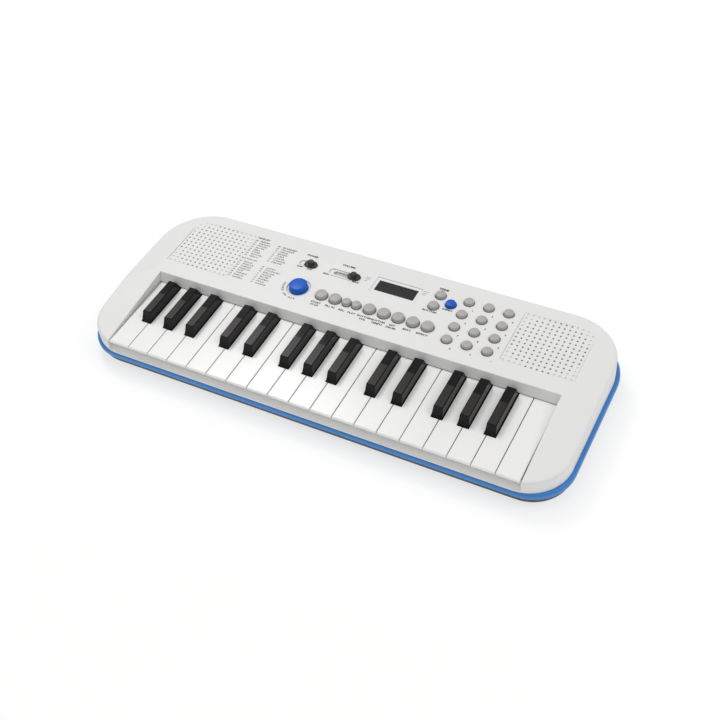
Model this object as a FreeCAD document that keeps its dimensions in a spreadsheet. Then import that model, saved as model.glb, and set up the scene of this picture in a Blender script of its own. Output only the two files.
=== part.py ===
"""Toy electronic keyboard with 32 mini keys, as an assembly of separate parts.

Frame: X along the keyboard, low notes at -X; Y from the player to the rear; Z up.
The origin is the centre of the footprint, on the plane that the feet stand on. Millimetres.
"""

import FreeCAD, Part
import math
import os
import re

import Sketcher
from FreeCAD import Placement, Rotation, Vector

SIZES = {
    # Whole case
    "length": 446, "depth": 179, "wall": 2.4,
    "band_front_corner": 36, "band_rear_corner": 46, "shell_front_corner": 36, "shell_rear_corner": 48,
    "foot_height": 2, "tray_inset": 3, "tray_edge_radius": 2.5,
    "band_low": 9, "band_high": 16, "band_lip": 0.9, "side_lip": 3.2, "band_edge_radius": 2.6,
    "panel_top": 37, "shoulder_radius": 2.5, "bevel_width": 22, "bevel_drop": 1.6,
    "cut_over": 5, "cut_under": 6,
    # Key bed
    "key_front": -86.5, "key_top": 28, "bed_half": 191, "bed_wall": 2.2,
    "fascia_foot": -6.1, "fascia_lean": 4, "fascia_gap": 0.7, "fascia_skin": 2.4,
    "sill_top": 22.2, "sill_lean": 4, "sill_foot": 4.6, "sill_skin": 2.2, "sill_start": 1.5,
    # White keys
    "key_pitch": 20, "white_count": 19, "key_gap": 0.7, "key_plate": 2, "key_skin": 1.3,
    "skirt_low": 22.5, "front_lip": 25.5, "skirt_start": 7.2, "key_round": 0.5,
    "notch_start": 31, "notch_half": 5.15, "tail_low": 23, "tail_high": 26, "tail_trim": 0.8,
    "key_reach": 85, "outer_sharp_shift": 2.6, "pair_sharp_shift": 2,
    # Black keys
    "black_base": 9.3, "black_crown": 8, "black_rise": 9.2, "black_front": 31.6, "black_rake": 4.4,
    "black_back": 80.4, "black_back_rake": 3.6, "black_bevel": 0.6, "black_low": 24.5,
    "black_round": 0.4, "black_clearance": 0.4,
    # Key hinge and contacts
    "hinge_y": 15.5, "hinge_z": 22, "hinge_rod": 1.6, "hinge_play": 0.06, "saddle_skin": 1.6,
    "rail_wall": 1.6, "plunger_y": -26, "plunger_low": 20.2, "plunger_half": 2.2,
    "dome_top": 18.7, "dome_radius": 3.2, "contact_board_low": 12, "board_thickness": 1.6,
    "strip_thickness": 1, "strip_depth": 9, "contact_board_depth": 30,
    # Speakers and grilles
    "grille_x": 163.5, "grille_y": 44.1, "grille_long": 63.4, "grille_deep": 58.6, "grille_sink": 0.6,
    "hole_pitch_x": 4.82, "hole_pitch_y": 4.65, "hole_radius": 0.85, "hole_rows": 13, "dimple_depth": 0.35,
    "speaker_radius": 29, "speaker_rim": 2, "speaker_gap": 0.95,
    "magnet_radius": 14, "magnet_low": 14, "basket_low": 21,
    # Round buttons
    "button_play": 0.35, "flange": 0.5, "flange_thickness": 0.8, "flange_gap": 0.8, "hole_bevel": 0.5,
    "row_y": 25.4, "row_radius": 5.4, "row_small_radius": 4.1, "row_rise": 3.6,
    "chord_x": -62.6, "chord_y": 27, "chord_radius": 8.4, "chord_well": 10.7, "chord_sink": 1,
    "chord_rise": 4.8, "mode_radius": 4.6, "mode_rise": 3.2,
    "number_x": 83.6, "number_y": 18.3, "number_step_x": 18.1, "number_step_y": 15.8,
    "number_radius": 4.4, "number_rise": 2.8, "stem_low": 32.95, "stem_radius": 1.6, "cap_round": 0.8,
    # Slide switches
    "slide_y": 57, "power_x": -66.5, "power_travel": 5, "volume_x": -23, "volume_travel": 18,
    "knob_long": 12, "knob_deep": 8.4, "knob_plate": 1.6, "nub_radius": 3, "knob_rise": 4.8,
    "knob_lift": 0.3, "plate_round": 0.6, "nub_round": 0.9,
    "slot_sink": 0.9, "slot_margin": 0.5, "slot_deep": 7.4, "slide_stem": 2, "slide_play": 0.25,
    # Display
    "display_x": 18.7, "display_y": 56.5, "display_long": 37.6, "display_deep": 13,
    "window_sink": 0.35, "window_thickness": 1.2, "window_margin": 1.6, "window_play": 0.1,
    "frame_margin": 3, "frame_sink": 0.5,
    "led_low": 30.4, "led_gap": 0.3,
    # Boards
    "board_low": 28.8, "board_left": -82, "board_right": 128, "board_front": 9, "board_back": 71,
    "switch_half": 3, "switch_height": 1.1, "plunger_height": 0.2, "chip_half": 9, "chip_height": 2,
    # Batteries and their bay
    "bay_half": 56, "bay_front": 29, "bay_back": 60, "bay_roof": 22, "channel_half": 61.5,
    "channel_depth": 2, "door_play": 0.25, "door_corner": 1.5, "bay_skin": 2,
    "groove_half": 14, "groove_first": 4.8, "groove_step": 2.4, "groove_width": 1.2, "groove_depth": 0.6,
    "cell_radius": 7.1, "cell_length": 49, "cell_round": 0.8, "tip_radius": 2.7, "coil_radius": 2.4,
    "cell_step": 15.2, "cell_z": 12.3, "contact_thickness": 0.6, "contact_half": 4.6,
    # Fasteners and feet
    "boss_radius": 3.6, "post_radius": 4.2, "screw_shank": 1.4, "screw_hole": 1.6, "head_radius": 2.9,
    "head_height": 2, "head_seat": 8, "head_well": 3.3, "screw_top": 24, "head_round": 0.7,
    "cross_reach": 1.9, "cross_half": 0.35, "cross_depth": 0.9,
    "foot_radius": 7, "foot_x": 180, "foot_y": 62, "foot_round": 0.6,
}

doc = FreeCAD.newDocument("toy_keyboard")
sheet = doc.addObject("Spreadsheet::Sheet", "Sizes")
for row, (alias, number) in enumerate(SIZES.items(), start=1):
    sheet.set(f"A{row}", alias)
    sheet.set(f"B{row}", str(number))
    sheet.setAlias(f"B{row}", alias)
doc.recompute()

EXPORTS = []


# ---------------------------------------------------------------- helpers

def on_sheet(text):
    """The expression text with every alias pointed at the sheet."""
    return re.sub(r"[a-z_]{3,}", lambda found: "Sizes." + found.group(0), str(text))


def value(text):
    """What an expression on the sheet comes to, as a number."""
    return float(sheet.evalExpression(on_sheet(text)))


def bind(thing, prop, text):
    """Ties one property to the sheet."""
    thing.setExpression(prop, on_sheet(text))


def keep(thing, node):
    """Names a finished sub-part and lists it for export."""
    thing.Label = node
    EXPORTS.append((node, thing))
    return thing


def block(name, low, high):
    """Box between two corners, each three expressions."""
    made = doc.addObject("Part::Box", name)
    for axis, prop, start, end in zip("xyz", ("Length", "Width", "Height"), low, high):
        bind(made, prop, f"({end}) - ({start})")
        bind(made, f"Placement.Base.{axis}", start)
    return made


def rod(name, centre, low, high, radius):
    """Upright cylinder."""
    made = doc.addObject("Part::Cylinder", name)
    bind(made, "Radius", radius)
    bind(made, "Height", f"({high}) - ({low})")
    for axis, text in zip("xyz", (*centre, low)):
        bind(made, f"Placement.Base.{axis}", text)
    return made


def cone(name, centre, low, high, low_radius, high_radius):
    """Upright cone or funnel."""
    made = doc.addObject("Part::Cone", name)
    bind(made, "Radius1", low_radius)
    bind(made, "Radius2", high_radius)
    bind(made, "Height", f"({high}) - ({low})")
    for axis, text in zip("xyz", (*centre, low)):
        bind(made, f"Placement.Base.{axis}", text)
    return made


def lying_rod(name, start, end, along_y, along_z, radius):
    """Cylinder along X."""
    made = doc.addObject("Part::Cylinder", name)
    made.Placement = Placement(Vector(), Rotation(Vector(0, 1, 0), 90))
    bind(made, "Radius", radius)
    bind(made, "Height", f"({end}) - ({start})")
    for axis, text in zip("xyz", (start, along_y, along_z)):
        bind(made, f"Placement.Base.{axis}", text)
    return made


def fuse(name, pieces):
    """One solid from several."""
    made = doc.addObject("Part::MultiFuse", name)
    made.Shapes = pieces
    made.Refine = True
    return made


def group(name, pieces):
    """Separate solids held as one shape."""
    made = doc.addObject("Part::Compound", name)
    made.Links = pieces
    return made


def cut(name, base, tool):
    """Base without the tool."""
    made = doc.addObject("Part::Cut", name)
    made.Base = base
    made.Tool = tool
    return made


def common(name, first, second):
    """What two solids share."""
    made = doc.addObject("Part::MultiCommon", name)
    made.Shapes = [first, second]
    return made


def sketch_on(body, role, name, offset="0"):
    """Sketch on one of the body's own origin planes, moved along the plane's normal."""
    sketch = body.newObject("Sketcher::SketchObject", name)
    base = next(part for part in body.Origin.OriginFeatures if part.Role == role)
    sketch.AttachmentSupport = [(base, "")]
    sketch.MapMode = "FlatFace"
    bind(sketch, "AttachmentOffset.Base.z", offset)
    return sketch


def polygon(sketch, corners):
    """Closed outline whose every corner is held by the sheet."""
    places = [Vector(value(x), value(y), 0) for x, y in corners]
    total = len(places)
    for index in range(total):
        sketch.addGeometry(Part.LineSegment(places[index], places[(index + 1) % total]), False)
    for index in range(total):
        sketch.addConstraint(Sketcher.Constraint("Coincident", index, 2, (index + 1) % total, 1))
    for index, (x, y) in enumerate(corners):
        for kind, text in (("DistanceX", x), ("DistanceY", y)):
            row = sketch.addConstraint(Sketcher.Constraint(kind, -1, 1, index, 1, value(text)))
            bind(sketch, f"Constraints[{row}]", text)


def profile_bar(name, corners, half_length):
    """Bar along X with a cross-section drawn in Y and Z."""
    body = doc.addObject("PartDesign::Body", name)
    sketch = sketch_on(body, "YZ_Plane", name + "_profile")
    polygon(sketch, corners)
    pad = body.newObject("PartDesign::Pad", name + "_pad")
    pad.Profile = sketch
    bind(pad, "Length", f"2 * ({half_length})")
    pad.SideType = "Symmetric"
    return body


def edges_where(shape, test):
    """Names of the edges whose centre and shape pass the test."""
    return [f"Edge{index}" for index, edge in enumerate(shape.Edges, start=1) if test(edge)]


def upright(edge):
    """True for an edge that runs along Z."""
    first, last = edge.Vertexes[0].Point, edge.Vertexes[-1].Point
    return abs(first.z - last.z) > 1e-6 and (first - last).cross(Vector(0, 0, 1)).Length < 1e-6


def round_edges(name, base, radius, test):
    """Part fillet on the edges that pass the test."""
    doc.recompute()
    made = doc.addObject("Part::Fillet", name)
    made.Base = base
    size = value(radius)
    names = edges_where(base.Shape, test)
    made.Edges = [(int(edge[4:]), size, size) for edge in names]
    return made


def slab(name, inset, low, high):
    """Rounded rectangle of the case outline, inset from the band, as a PartDesign body."""
    body = doc.addObject("PartDesign::Body", name)
    sketch = sketch_on(body, "XY_Plane", name + "_outline", low)
    half_x = f"length / 2 - ({inset})"
    half_y = f"depth / 2 - ({inset})"
    polygon(sketch, [(f"-({half_x})", f"-({half_y})"), (half_x, f"-({half_y})"),
                     (half_x, half_y), (f"-({half_x})", half_y)])
    pad = body.newObject("PartDesign::Pad", name + "_pad")
    pad.Profile = sketch
    bind(pad, "Length", f"({high}) - ({low})")
    doc.recompute()
    for end, side in (("front", -1), ("rear", 1)):
        before = body.Tip
        corners = body.newObject("PartDesign::Fillet", f"{name}_{end}_corners")
        corners.Base = (before, edges_where(
            before.Shape, lambda edge: upright(edge) and side * edge.CenterOfMass.y > value(half_y) / 2))
        bind(corners, "Radius", f"band_{end}_corner - ({inset})")
        doc.recompute()
    return body


# ---------------------------------------------------------------- top case

def top_bevelled(solid):
    """The block with a wide shallow bevel round its level top."""
    top = max(solid.Faces, key=lambda face: face.CenterOfMass.z)
    rim = [edge.hashCode() for edge in top.Edges]
    return solid.makeChamfer(value("bevel_drop"), value("bevel_width"),
                             [edge for edge in solid.Edges if edge.hashCode() in rim])


def shouldered(solid, radius):
    """The block with a fillet where its top or bevel meets the upright walls."""
    if not radius:
        return solid
    walls = [face for face in solid.Faces if abs(face.normalAt(0, 0).z) < 1e-6]
    slopes = [face for face in solid.Faces if face.normalAt(0, 0).z > 0.5]
    wall_edges = {edge.hashCode() for face in walls for edge in face.Edges}
    shoulder = {edge.hashCode() for face in slopes for edge in face.Edges} & wall_edges
    return solid.makeFillet(value(radius), [edge for edge in solid.Edges if edge.hashCode() in shoulder])


def crown(name, skin, drop, radius):
    """Outer or inner form of the top case: what a level block and one sloping to the front share.

    The bevel has a different width on each face, all round a chain of lines and arcs, so its
    shape is made in code from the sheet's sizes.
    """
    half_x = value(f"length / 2 - side_lip - ({skin})")
    half_y = value(f"depth / 2 - band_lip - ({skin})")
    low, high = value("band_high"), value(f"panel_top - ({drop})")
    crease = value("fascia_foot + fascia_lean")
    fall = value("(panel_top - key_top) / (fascia_foot + fascia_lean - key_front)")
    tall = Part.makeBox(2 * half_x, 2 * half_y, 2 * (high - low), Vector(-half_x, -half_y, low))
    for end, side in (("front", -1), ("rear", 1)):
        tall = tall.makeFillet(value(f"shell_{end}_corner - ({skin})"), [
            edge for edge in tall.Edges if upright(edge) and side * edge.CenterOfMass.y > half_y / 2])
    level = tall.common(Part.makeBox(2 * half_x, 2 * half_y, high - low, Vector(-half_x, -half_y, low)))
    corners = [Vector(0, y, high + (y - crease) * fall) for y in (-2 * half_y, 2 * half_y)]
    corners += [Vector(0, y, 4 * high) for y in (2 * half_y, -2 * half_y)]
    wedge = Part.Face(Part.makePolygon(corners + corners[:1])).extrude(Vector(4 * half_x, 0, 0))
    wedge.translate(Vector(-2 * half_x, 0, 0))
    sloped = tall.cut(wedge)
    made = doc.addObject("Part::Feature", name)
    made.Shape = shouldered(top_bevelled(level), radius).common(shouldered(sloped, radius))
    return made


def button_places():
    """Every round button: node, centre x, centre y, radius, rise above the panel."""
    row = [("start_button", -38.5, "row_radius"), ("fill_button", -25, "row_radius"),
           ("record_button", -13.6, "row_small_radius"), ("play_button", -4.3, "row_small_radius"),
           ("rhythm_volume_button", 8.3, "row_radius"), ("rhythm_tempo_button", 22.2, "row_radius"),
           ("key_drum_button", 35.8, "row_radius"), ("beat_button", 49.5, "row_radius"),
           ("effect_button", 63.1, "row_radius")]
    places = [(node, x, "row_y", radius, "row_rise") for node, x, radius in row]
    places += [("tone_button", 57.7, 64.4, "mode_radius", "mode_rise"),
               ("rhythm_button", 57.1, 50.4, "mode_radius", "mode_rise"),
               ("demo_button", 70.1, 57.4, "mode_radius", "mode_rise")]
    return places


def number_places():
    """Centres of the twelve number buttons, as expressions."""
    return [(f"number_x + {column} * number_step_x", f"number_y + {row} * number_step_y")
            for row in range(4) for column in range(3)]


def slide_places():
    """Slide knobs: node, rest x, travel. Each rests at the right end of its slot."""
    return [("power_knob", "power_x", "power_travel"), ("volume_knob", "volume_x", "volume_travel")]


def obround(name, x_low, x_high, half_deep, low, high):
    """Upright slot shape whose round ends are centred at x_low and x_high."""
    return fuse(name, [
        block(name + "_middle", (x_low, f"slide_y - ({half_deep})", low),
              (x_high, f"slide_y + ({half_deep})", high)),
        rod(name + "_left", (x_low, "slide_y"), low, high, half_deep),
        rod(name + "_right", (x_high, "slide_y"), low, high, half_deep)])


def grille_holes(side):
    """Square field of small holes over one speaker: through holes in a circle, blind dimples outside it."""
    field = doc.addObject("Part::Feature", f"grille_holes_{side}")
    count = int(value("hole_rows"))
    middle = (count - 1) / 2
    reach = count / 2
    low = value("panel_top - wall - 2")
    tall = value("wall + 4")
    holes = []
    for column in range(count):
        for line in range(count):
            blind = math.hypot(column - middle, line - middle) > reach
            lift = value("wall + 2 - grille_sink - dimple_depth") if blind else 0
            holes.append(Part.makeCylinder(value("hole_radius"), tall, Vector(
                (column - middle) * value("hole_pitch_x"), (line - middle) * value("hole_pitch_y"), lift)))
    field.Shape = Part.makeCompound(holes)
    field.Placement = Placement(Vector(side * value("grille_x"), value("grille_y"), low), Rotation())
    return field


SCREW_PLACES = [(204, -62), (206, -2), (197, 64), (100, 78.5)]


def screw_places():
    """Case screws, the same on both sides."""
    return [(side * x, y) for side in (-1, 1) for x, y in SCREW_PLACES]


def make_top_case():
    """White shell: panel, key bed with its fascia and side walls, grilles and every opening."""
    outer = crown("top_outer", "0", "0", "shoulder_radius")
    hollow = crown("top_hollow", "wall", "wall", "")
    solid_inside = [
        block("bed_wall_left", ("-bed_half - bed_wall", "-depth", 0), ("-bed_half", "fascia_foot + 8", 60)),
        block("bed_wall_right", ("bed_half", "-depth", 0), ("bed_half + bed_wall", "fascia_foot + 8", 60)),
        profile_bar("fascia", [
            ("fascia_foot", "key_top + fascia_gap"), ("fascia_foot + fascia_skin", "key_top + fascia_gap"),
            ("fascia_foot + fascia_lean + fascia_skin", "panel_top + 1"),
            ("fascia_foot + fascia_lean", "panel_top + 1")],
            "bed_half + bed_wall"),
        profile_bar("sill", [
            ("key_front", "band_high - 1"), ("key_front + sill_foot", "band_high - 1"),
            ("key_front + sill_lean + sill_skin", "sill_top + 1"), ("key_front", "sill_top + 1")],
            "bed_half + bed_wall"),
    ]
    solid_inside += [rod(f"boss_{i}", (x, y), 0, 60, "boss_radius")
                     for i, (x, y) in enumerate(screw_places())]
    cavity = cut("top_cavity", hollow, fuse("kept_inside", solid_inside))
    shell = cut("top_shell", outer, cavity)

    openings = [
        profile_bar("bed_opening", [
            ("-depth", "sill_top"), ("fascia_foot", "sill_top"), ("fascia_foot", "key_top + fascia_gap"),
            ("fascia_foot + fascia_lean", "panel_top"), ("fascia_foot + fascia_lean", 80), ("-depth", 80)],
            "bed_half"),
        profile_bar("sill_slope", [
            ("-depth", "band_high + sill_start"), ("-depth / 2 + band_lip", "band_high + sill_start"),
            ("key_front + sill_lean", "sill_top + 0.01"), ("-depth", "sill_top + 0.01")], "bed_half"),
    ]
    for side in (-1, 1):
        openings.append(block(
            f"grille_sink_{side}".replace("-", "m"),
            (f"{side} * grille_x - grille_long / 2", "grille_y - grille_deep / 2", "panel_top - grille_sink"),
            (f"{side} * grille_x + grille_long / 2", "grille_y + grille_deep / 2", "panel_top + cut_over")))
    round_holes = [(node, x, y, radius) for node, x, y, radius, rise in button_places()]
    round_holes += [(f"number_{index}", x, y, "number_radius")
                    for index, (x, y) in enumerate(number_places())]
    for node, x, y, radius in round_holes:
        hole = f"{radius} + button_play"
        openings.append(rod(node + "_hole", (x, y), "panel_top - cut_under", "panel_top + cut_over", hole))
        openings.append(cone(node + "_rim", (x, y), "panel_top - hole_bevel", "panel_top + hole_bevel",
                             hole, f"{hole} + 2 * hole_bevel"))
    openings.append(rod("chord_hole", ("chord_x", "chord_y"), "panel_top - cut_under",
                        "panel_top + cut_over", "chord_radius + button_play"))
    openings.append(rod("chord_well_cut", ("chord_x", "chord_y"), "panel_top - chord_sink",
                        "panel_top + cut_over", "chord_well"))
    for node, x, travel in slide_places():
        reach = "(knob_long - slot_deep) / 2 + slot_margin"
        openings.append(obround(node + "_recess", f"{x} - {travel} - ({reach})", f"{x} + {reach}",
                                "slot_deep / 2", "panel_top - slot_sink", "panel_top + cut_over"))
        openings.append(obround(node + "_slot", f"{x} - {travel}", x, "slide_stem + slide_play",
                                "panel_top - cut_under", "panel_top + cut_over"))
    openings += [
        block("frame_recess", (
            "display_x - display_long / 2 - frame_margin", "display_y - display_deep / 2 - frame_margin",
            "panel_top - frame_sink"), (
            "display_x + display_long / 2 + frame_margin", "display_y + display_deep / 2 + frame_margin",
            "panel_top + cut_over")),
        block("window_seat", (
            "display_x - display_long / 2", "display_y - display_deep / 2",
            "panel_top - frame_sink - window_sink - window_thickness"), (
            "display_x + display_long / 2", "display_y + display_deep / 2", "panel_top + cut_over")),
        block("window_hole", (
            "display_x - display_long / 2 + window_margin", "display_y - display_deep / 2 + window_margin",
            "panel_top - cut_under"), (
            "display_x + display_long / 2 - window_margin", "display_y + display_deep / 2 - window_margin",
            "panel_top + cut_over")),
    ]
    for index, (x, y) in enumerate(screw_places()):
        openings.append(rod(f"pilot_{index}", (x, y), "0", "screw_top + 1", "screw_hole"))
    pierced = cut("top_pierced", shell, group("top_openings", openings))
    keep(cut("top_case", pierced, group("all_holes", [grille_holes(-1), grille_holes(1)])), "top_case")


# ---------------------------------------------------------------- bottom case

def make_bottom_case():
    """Blue tray: rounded band, lower body, hinge rail, board ribs, battery bay and screw posts."""
    lower = slab("tray", "tray_inset", "foot_height", "band_low + 1")
    tip = lower.Tip
    foot_edges = {edge.hashCode() for face in tip.Shape.Faces if face.normalAt(0, 0).z < -0.9
                  for edge in face.Edges}
    fillet = lower.newObject("PartDesign::Fillet", "tray_round")
    fillet.Base = (tip, edges_where(tip.Shape, lambda edge: edge.hashCode() in foot_edges))
    bind(fillet, "Radius", "tray_edge_radius")
    band = slab("band", "0", "band_low", "band_high")
    tip = band.Tip
    flat_faces = [face for face in tip.Shape.Faces if abs(face.normalAt(0, 0).z) > 0.9]
    rims = {edge.hashCode() for face in flat_faces for edge in face.Edges}
    soft = band.newObject("PartDesign::Fillet", "band_round")
    soft.Base = (tip, edges_where(tip.Shape, lambda edge: edge.hashCode() in rims))
    bind(soft, "Radius", "band_edge_radius")
    doc.recompute()

    floor = "foot_height + wall"
    raised = "foot_height + channel_depth"
    hollow = slab("tray_hollow", "tray_inset + wall", floor, "band_high + 10")
    inside = [
        block("channel_floor", ("-channel_half - 2", "bay_front - 4", "0"),
              ("channel_half + 2", "depth / 2 - tray_inset - 1", f"{raised} + wall")),
        block("bay_outer", ("-bay_half - bay_skin", "bay_front - bay_skin", "0"),
              ("bay_half + bay_skin", "bay_back + bay_skin", "bay_roof")),
        block("rail_wall_block", ("-bed_half + 1", "hinge_y - rail_wall / 2", "0"),
              ("bed_half - 1", "hinge_y + rail_wall / 2", "hinge_z")),
    ]
    for index in (-2, -1, 0, 1, 2):
        inside.append(block(f"board_rib_{index + 2}", (
            f"{index} * 4.5 * key_pitch - 1", "plunger_y - contact_board_depth / 2", "0"), (
            f"{index} * 4.5 * key_pitch + 1", "plunger_y + contact_board_depth / 2", "contact_board_low")))
    posts = [rod(f"post_{i}", (x, y), "foot_height", "band_high", "post_radius")
             for i, (x, y) in enumerate(screw_places())]
    outside = fuse("tray_outside", [lower, band])
    empty = cut("tray_empty", hollow, fuse("tray_inside", inside + posts))
    shell = cut("tray_shell", outside, empty)
    tall = common("tray_inner_ribs", fuse("tall_inside", [
        block("bay_tall", ("-bay_half - bay_skin", "bay_front - bay_skin", "band_high - 1"),
              ("bay_half + bay_skin", "bay_back + bay_skin", "bay_roof")),
        block("rail_tall", ("-bed_half + 1", "hinge_y - rail_wall / 2", "band_high - 1"),
              ("bed_half - 1", "hinge_y + rail_wall / 2", "hinge_z")),
        lying_rod("rail_bead", "-bed_half + 1", "bed_half - 1", "hinge_y", "hinge_z", "hinge_rod")]),
        block("rib_limit", ("-length", "-depth", "0"), ("length", "depth", "bay_roof + 10")))
    full = fuse("tray_full", [shell, tall])
    holes = [
        block("channel", ("-channel_half", "bay_front - bay_skin - 4 * door_play", "-1"),
              ("channel_half", "depth", raised)),
        block("bay_inner", ("-bay_half", "bay_front", "0"), ("bay_half", "bay_back", "bay_roof - bay_skin")),
    ]
    for index, (x, y) in enumerate(screw_places()):
        holes.append(rod(f"screw_hole_{index}", (x, y), "-1", "band_high + 1", "screw_hole"))
        holes.append(rod(f"screw_well_{index}", (x, y), "-1", "head_seat", "head_well"))
    keep(cut("bottom_case", full, group("tray_holes", holes)), "bottom_case")


def make_battery_door():
    """Sliding plate that fills the channel in the tray's underside, with three grip ribs."""
    front = "bay_front - bay_skin - 3 * door_play"
    back = "depth / 2 - tray_inset - tray_edge_radius"
    top = "foot_height + channel_depth - door_play"
    plate = block("door_plate", ("-channel_half + door_play", front, "foot_height"),
                  ("channel_half - door_play", back, top))
    grooves = [block(
        f"door_groove_{i}",
        ("-groove_half", f"{back} - groove_first - {i} * groove_step - groove_width", "foot_height - 1"),
        ("groove_half", f"{back} - groove_first - {i} * groove_step", "foot_height + groove_depth"))
        for i in range(4)]
    grooved = cut("door_grooved", plate, group("door_grooves", grooves))
    keep(round_edges("door_rounded", grooved, "door_corner", upright_corner), "battery_door")


def upright_corner(edge):
    """Upright edges at the far corners of the battery door."""
    middle = edge.CenterOfMass
    return upright(edge) and abs(middle.x) > 40 and edge.Length > 1.5


# ---------------------------------------------------------------- keys

WHITE_NOTES = ["f3", "g3", "a3", "b3", "c4", "d4", "e4", "f4", "g4", "a4", "b4",
               "c5", "d5", "e5", "f5", "g5", "a5", "b5", "c6"]
SHARP_SHIFTS = {"c": "-pair_sharp_shift", "d": "pair_sharp_shift",
                "f": "-outer_sharp_shift", "g": "0", "a": "outer_sharp_shift"}


def key_left(index):
    """X of the line left of white key number index."""
    return f"({index} - white_count / 2) * key_pitch"


def sharp_after(index):
    """X of the black key between white keys index and index + 1, or None."""
    if not 0 <= index < len(WHITE_NOTES) - 1:
        return None
    shift = SHARP_SHIFTS.get(WHITE_NOTES[index][0])
    return None if shift is None else f"({key_left(index + 1)} + {shift})"


def saddle(name, left, right):
    """Half-open bearing that rides over the hinge bead, with the tail's end round it."""
    outer = lying_rod(name + "_ring", left, right, "hinge_y", "hinge_z",
                      "hinge_rod + hinge_play + saddle_skin")
    bore = lying_rod(name + "_bore", f"({left}) - 1", f"({right}) + 1", "hinge_y", "hinge_z",
                     "hinge_rod + hinge_play")
    mouth = block(name + "_mouth", (f"({left}) - 1", "hinge_y - hinge_rod - hinge_play", "hinge_z - 6"),
                  (f"({right}) + 1", "hinge_y + hinge_rod + hinge_play", "hinge_z"))
    return outer, [bore, mouth]


def make_white_key(index):
    """One white key: hollow cap, tail under the panel, hinge saddle and contact plunger."""
    note = WHITE_NOTES[index]
    name = f"white_key_{note}"
    left = f"({key_left(index)} + key_gap / 2)"
    right = f"({key_left(index + 1)} - key_gap / 2)"
    before, after = sharp_after(index - 1), sharp_after(index)
    neck_left = f"({before} + notch_half)" if before else left
    neck_right = f"({after} - notch_half)" if after else right
    back = "key_front + key_reach"
    notch = "key_front + notch_start"

    head = block(name + "_head", (left, "key_front", "front_lip"), (right, notch, "key_top"))
    neck = block(name + "_neck", (neck_left, f"{notch} - 1", "front_lip"), (neck_right, back, "key_top"))
    cap = fuse(name + "_cap", [head, neck])
    rounded = round_edges(name + "_rounded", cap, "key_round", top_rim)
    skirts = [
        block(name + "_head_skirt", (left, "key_front + skirt_start", "skirt_low"),
              (right, notch, "front_lip + 0.5")),
        block(name + "_neck_skirt", (neck_left, f"{notch} - 1", "skirt_low"),
              (neck_right, back, "front_lip + 0.5")),
    ]
    hollows = [
        block(name + "_front_hollow", (f"{left} + key_skin", "key_front + key_skin", "skirt_low - 1"),
              (f"{right} - key_skin", "key_front + skirt_start + 1", "key_top - key_plate")),
        block(name + "_head_hollow", (f"{left} + key_skin", "key_front + skirt_start", "skirt_low - 1"),
              (f"{right} - key_skin", f"{notch} - key_skin", "key_top - key_plate")),
        block(name + "_neck_hollow", (f"{neck_left} + key_skin", f"{notch} - key_skin - 1", "skirt_low - 1"),
              (f"{neck_right} - key_skin", f"{back} - key_skin", "key_top - key_plate")),
    ]
    shell = cut(name + "_shell", fuse(name + "_full", [rounded] + skirts), group(name + "_hollows", hollows))
    tail_left = f"({neck_left} + tail_trim)"
    tail_right = f"({neck_right} - tail_trim)"
    ring, openings = saddle(name, tail_left, tail_right)
    middle = f"(({neck_left}) + ({neck_right})) / 2"
    pieces = [
        shell, ring,
        block(name + "_tail", (tail_left, f"{back} - key_skin", "tail_low"),
              (tail_right, "hinge_y", "tail_high")),
        block(name + "_plunger", (f"{middle} - plunger_half", "plunger_y - plunger_half", "plunger_low"),
              (f"{middle} + plunger_half", "plunger_y + plunger_half", "key_top - key_plate + 0.5")),
    ]
    keep(cut(name, fuse(name + "_joined", pieces), group(name + "_openings", openings)), name)


def top_rim(edge):
    """Edges round a white key's playing face."""
    box = edge.BoundBox
    return box.ZMin > value("key_top") - 1e-3


def make_black_key(index):
    """One black key: raked, bevelled cap, body between the white keys, tail, saddle and plunger."""
    middle = sharp_after(index)
    name = f"black_key_{WHITE_NOTES[index][0]}_sharp_{WHITE_NOTES[index][1]}"
    back = "key_front + black_back"
    cap = doc.addObject("Part::Wedge", name + "_wedge")
    cap.Placement = Placement(Vector(), Rotation(Vector(1, 0, 0), 90))
    bind(cap, "Placement.Base.x", middle)
    bind(cap, "Placement.Base.z", "key_top - 1")
    for prop, text in (
            ("Xmin", "-black_base / 2"), ("Xmax", "black_base / 2"),
            ("X2min", "-black_crown / 2"), ("X2max", "black_crown / 2"),
            ("Ymin", "0"), ("Ymax", "black_rise + 1"),
            ("Zmin", f"-({back})"), ("Zmax", "-(key_front + black_front)"),
            ("Z2min", f"-({back} - black_back_rake)"), ("Z2max", "-(key_front + black_front + black_rake)")):
        bind(cap, prop, text)
    doc.recompute()
    crown_z = value("key_top + black_rise")
    bevelled = doc.addObject("Part::Chamfer", name + "_bevelled")
    bevelled.Base = cap
    size = value("black_bevel")
    bevelled.Edges = [(int(edge[4:]), size, size) for edge in edges_where(
        cap.Shape, lambda e: e.BoundBox.ZMin > crown_z - 1e-3 and e.BoundBox.YLength > 10)]
    soft = round_edges(name + "_soft", bevelled, "black_round",
                       lambda e: e.BoundBox.ZMin > crown_z - size - 0.1 and e.BoundBox.YLength < 2)
    left = f"({middle} - black_base / 2 + black_clearance)"
    right = f"({middle} + black_base / 2 - black_clearance)"
    ring, openings = saddle(name, left, right)
    pieces = [
        soft, ring,
        block(name + "_body", (left, "key_front + black_front + 0.6", "black_low"),
              (right, f"{back} - 0.6", "key_top - 0.5")),
        block(name + "_tail", (left, f"{back} - 4", "tail_low"), (right, "hinge_y", "tail_high")),
        block(name + "_plunger", (f"{middle} - plunger_half", "plunger_y - plunger_half", "plunger_low"),
              (f"{middle} + plunger_half", "plunger_y + plunger_half", "black_low + 1")),
    ]
    keep(cut(name, fuse(name + "_joined", pieces), group(name + "_openings", openings)), name)


# ---------------------------------------------------------------- buttons and knobs

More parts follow.
